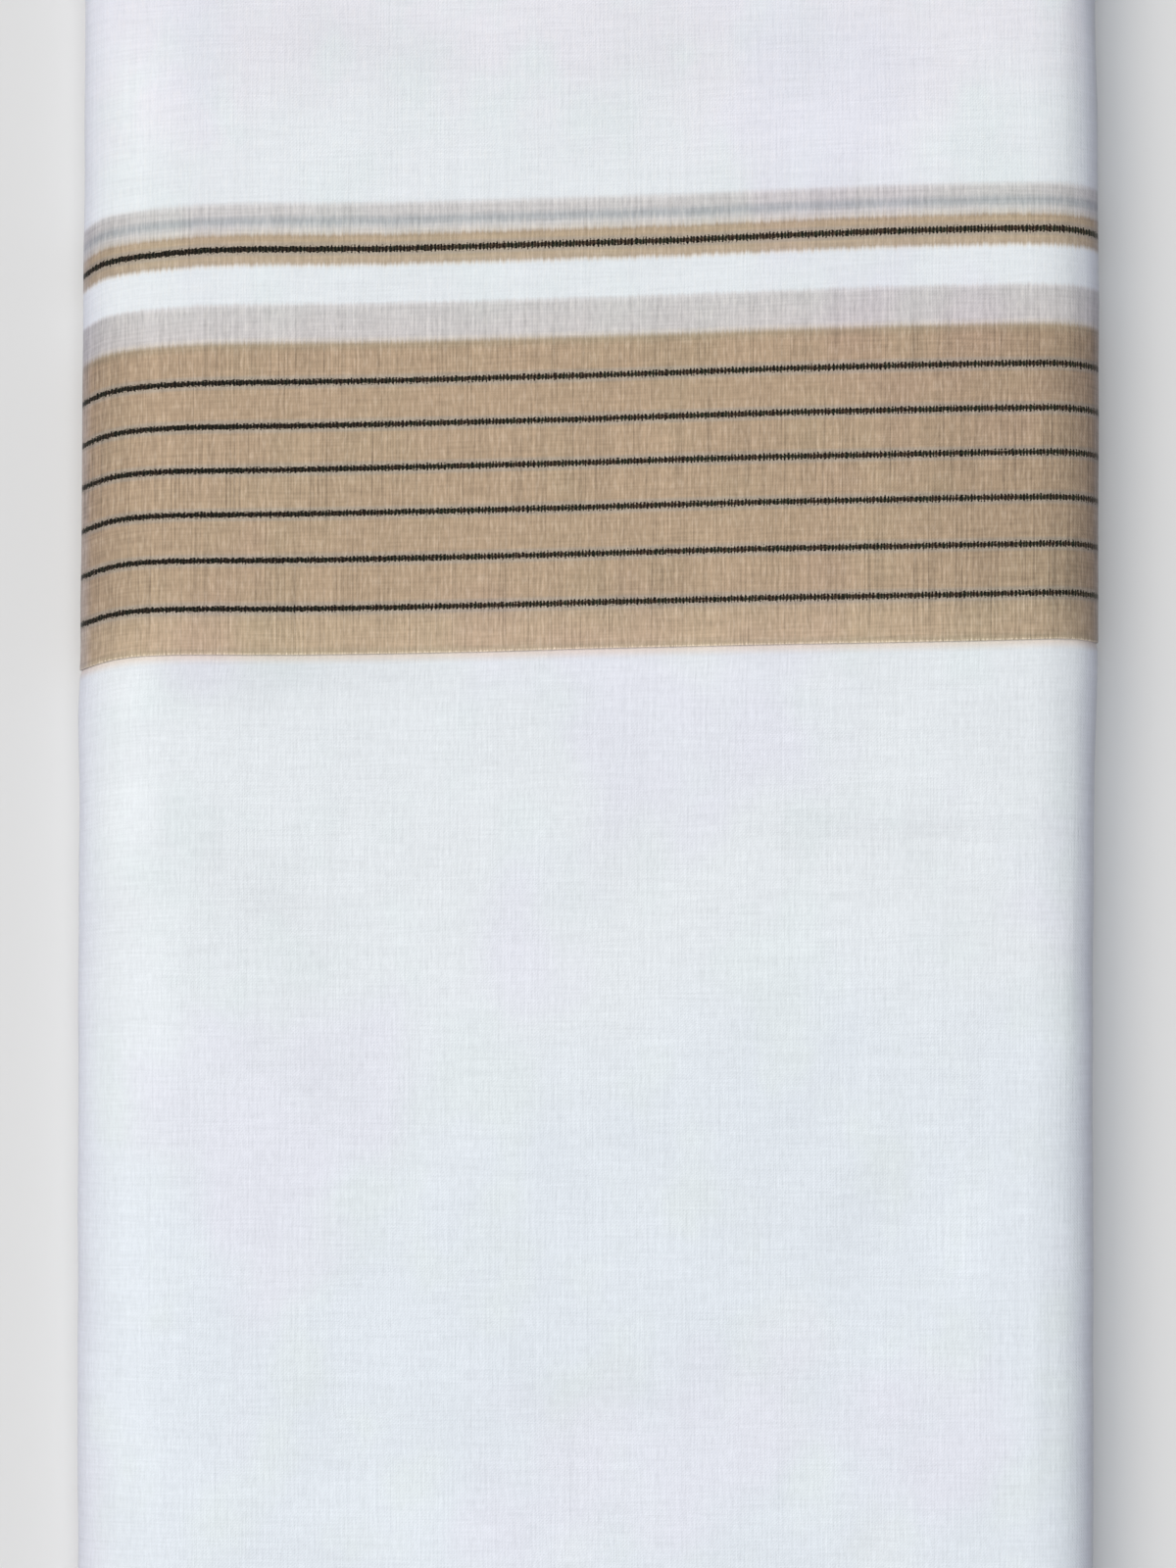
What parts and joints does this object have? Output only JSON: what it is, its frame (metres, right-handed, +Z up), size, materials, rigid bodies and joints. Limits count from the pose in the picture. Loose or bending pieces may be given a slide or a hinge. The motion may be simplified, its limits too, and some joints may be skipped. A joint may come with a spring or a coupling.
{
  "type": "folded dhoti cloth",
  "caption": "White cotton dhoti folded and wound flat into a long packet, its tan border with fine dark stripes lying across the front.",
  "frame": {"origin": "on the surface that the packet lies on, under the middle of its box", "axes": "+X across the packet, to the right of someone facing its front with the border above the plain half; +Y along the packet, towards the end that the border stretch folds over; +Z up, out of the front"},
  "size_m": [0.208, 0.424, 0.02],
  "materials": {
    "inner_cotton": "matte plain-weave cotton, folded edges",
    "plain_cotton": "matte plain-weave cotton, pressed",
    "border_cotton": "matte plain-weave cotton with woven stripes, pressed"
  },
  "bodies": {
    "root": {"inner_turns": "inner_cotton", "plain_stretch": "plain_cotton", "border_stretch": "border_cotton"}
  },
  "joints": []
}
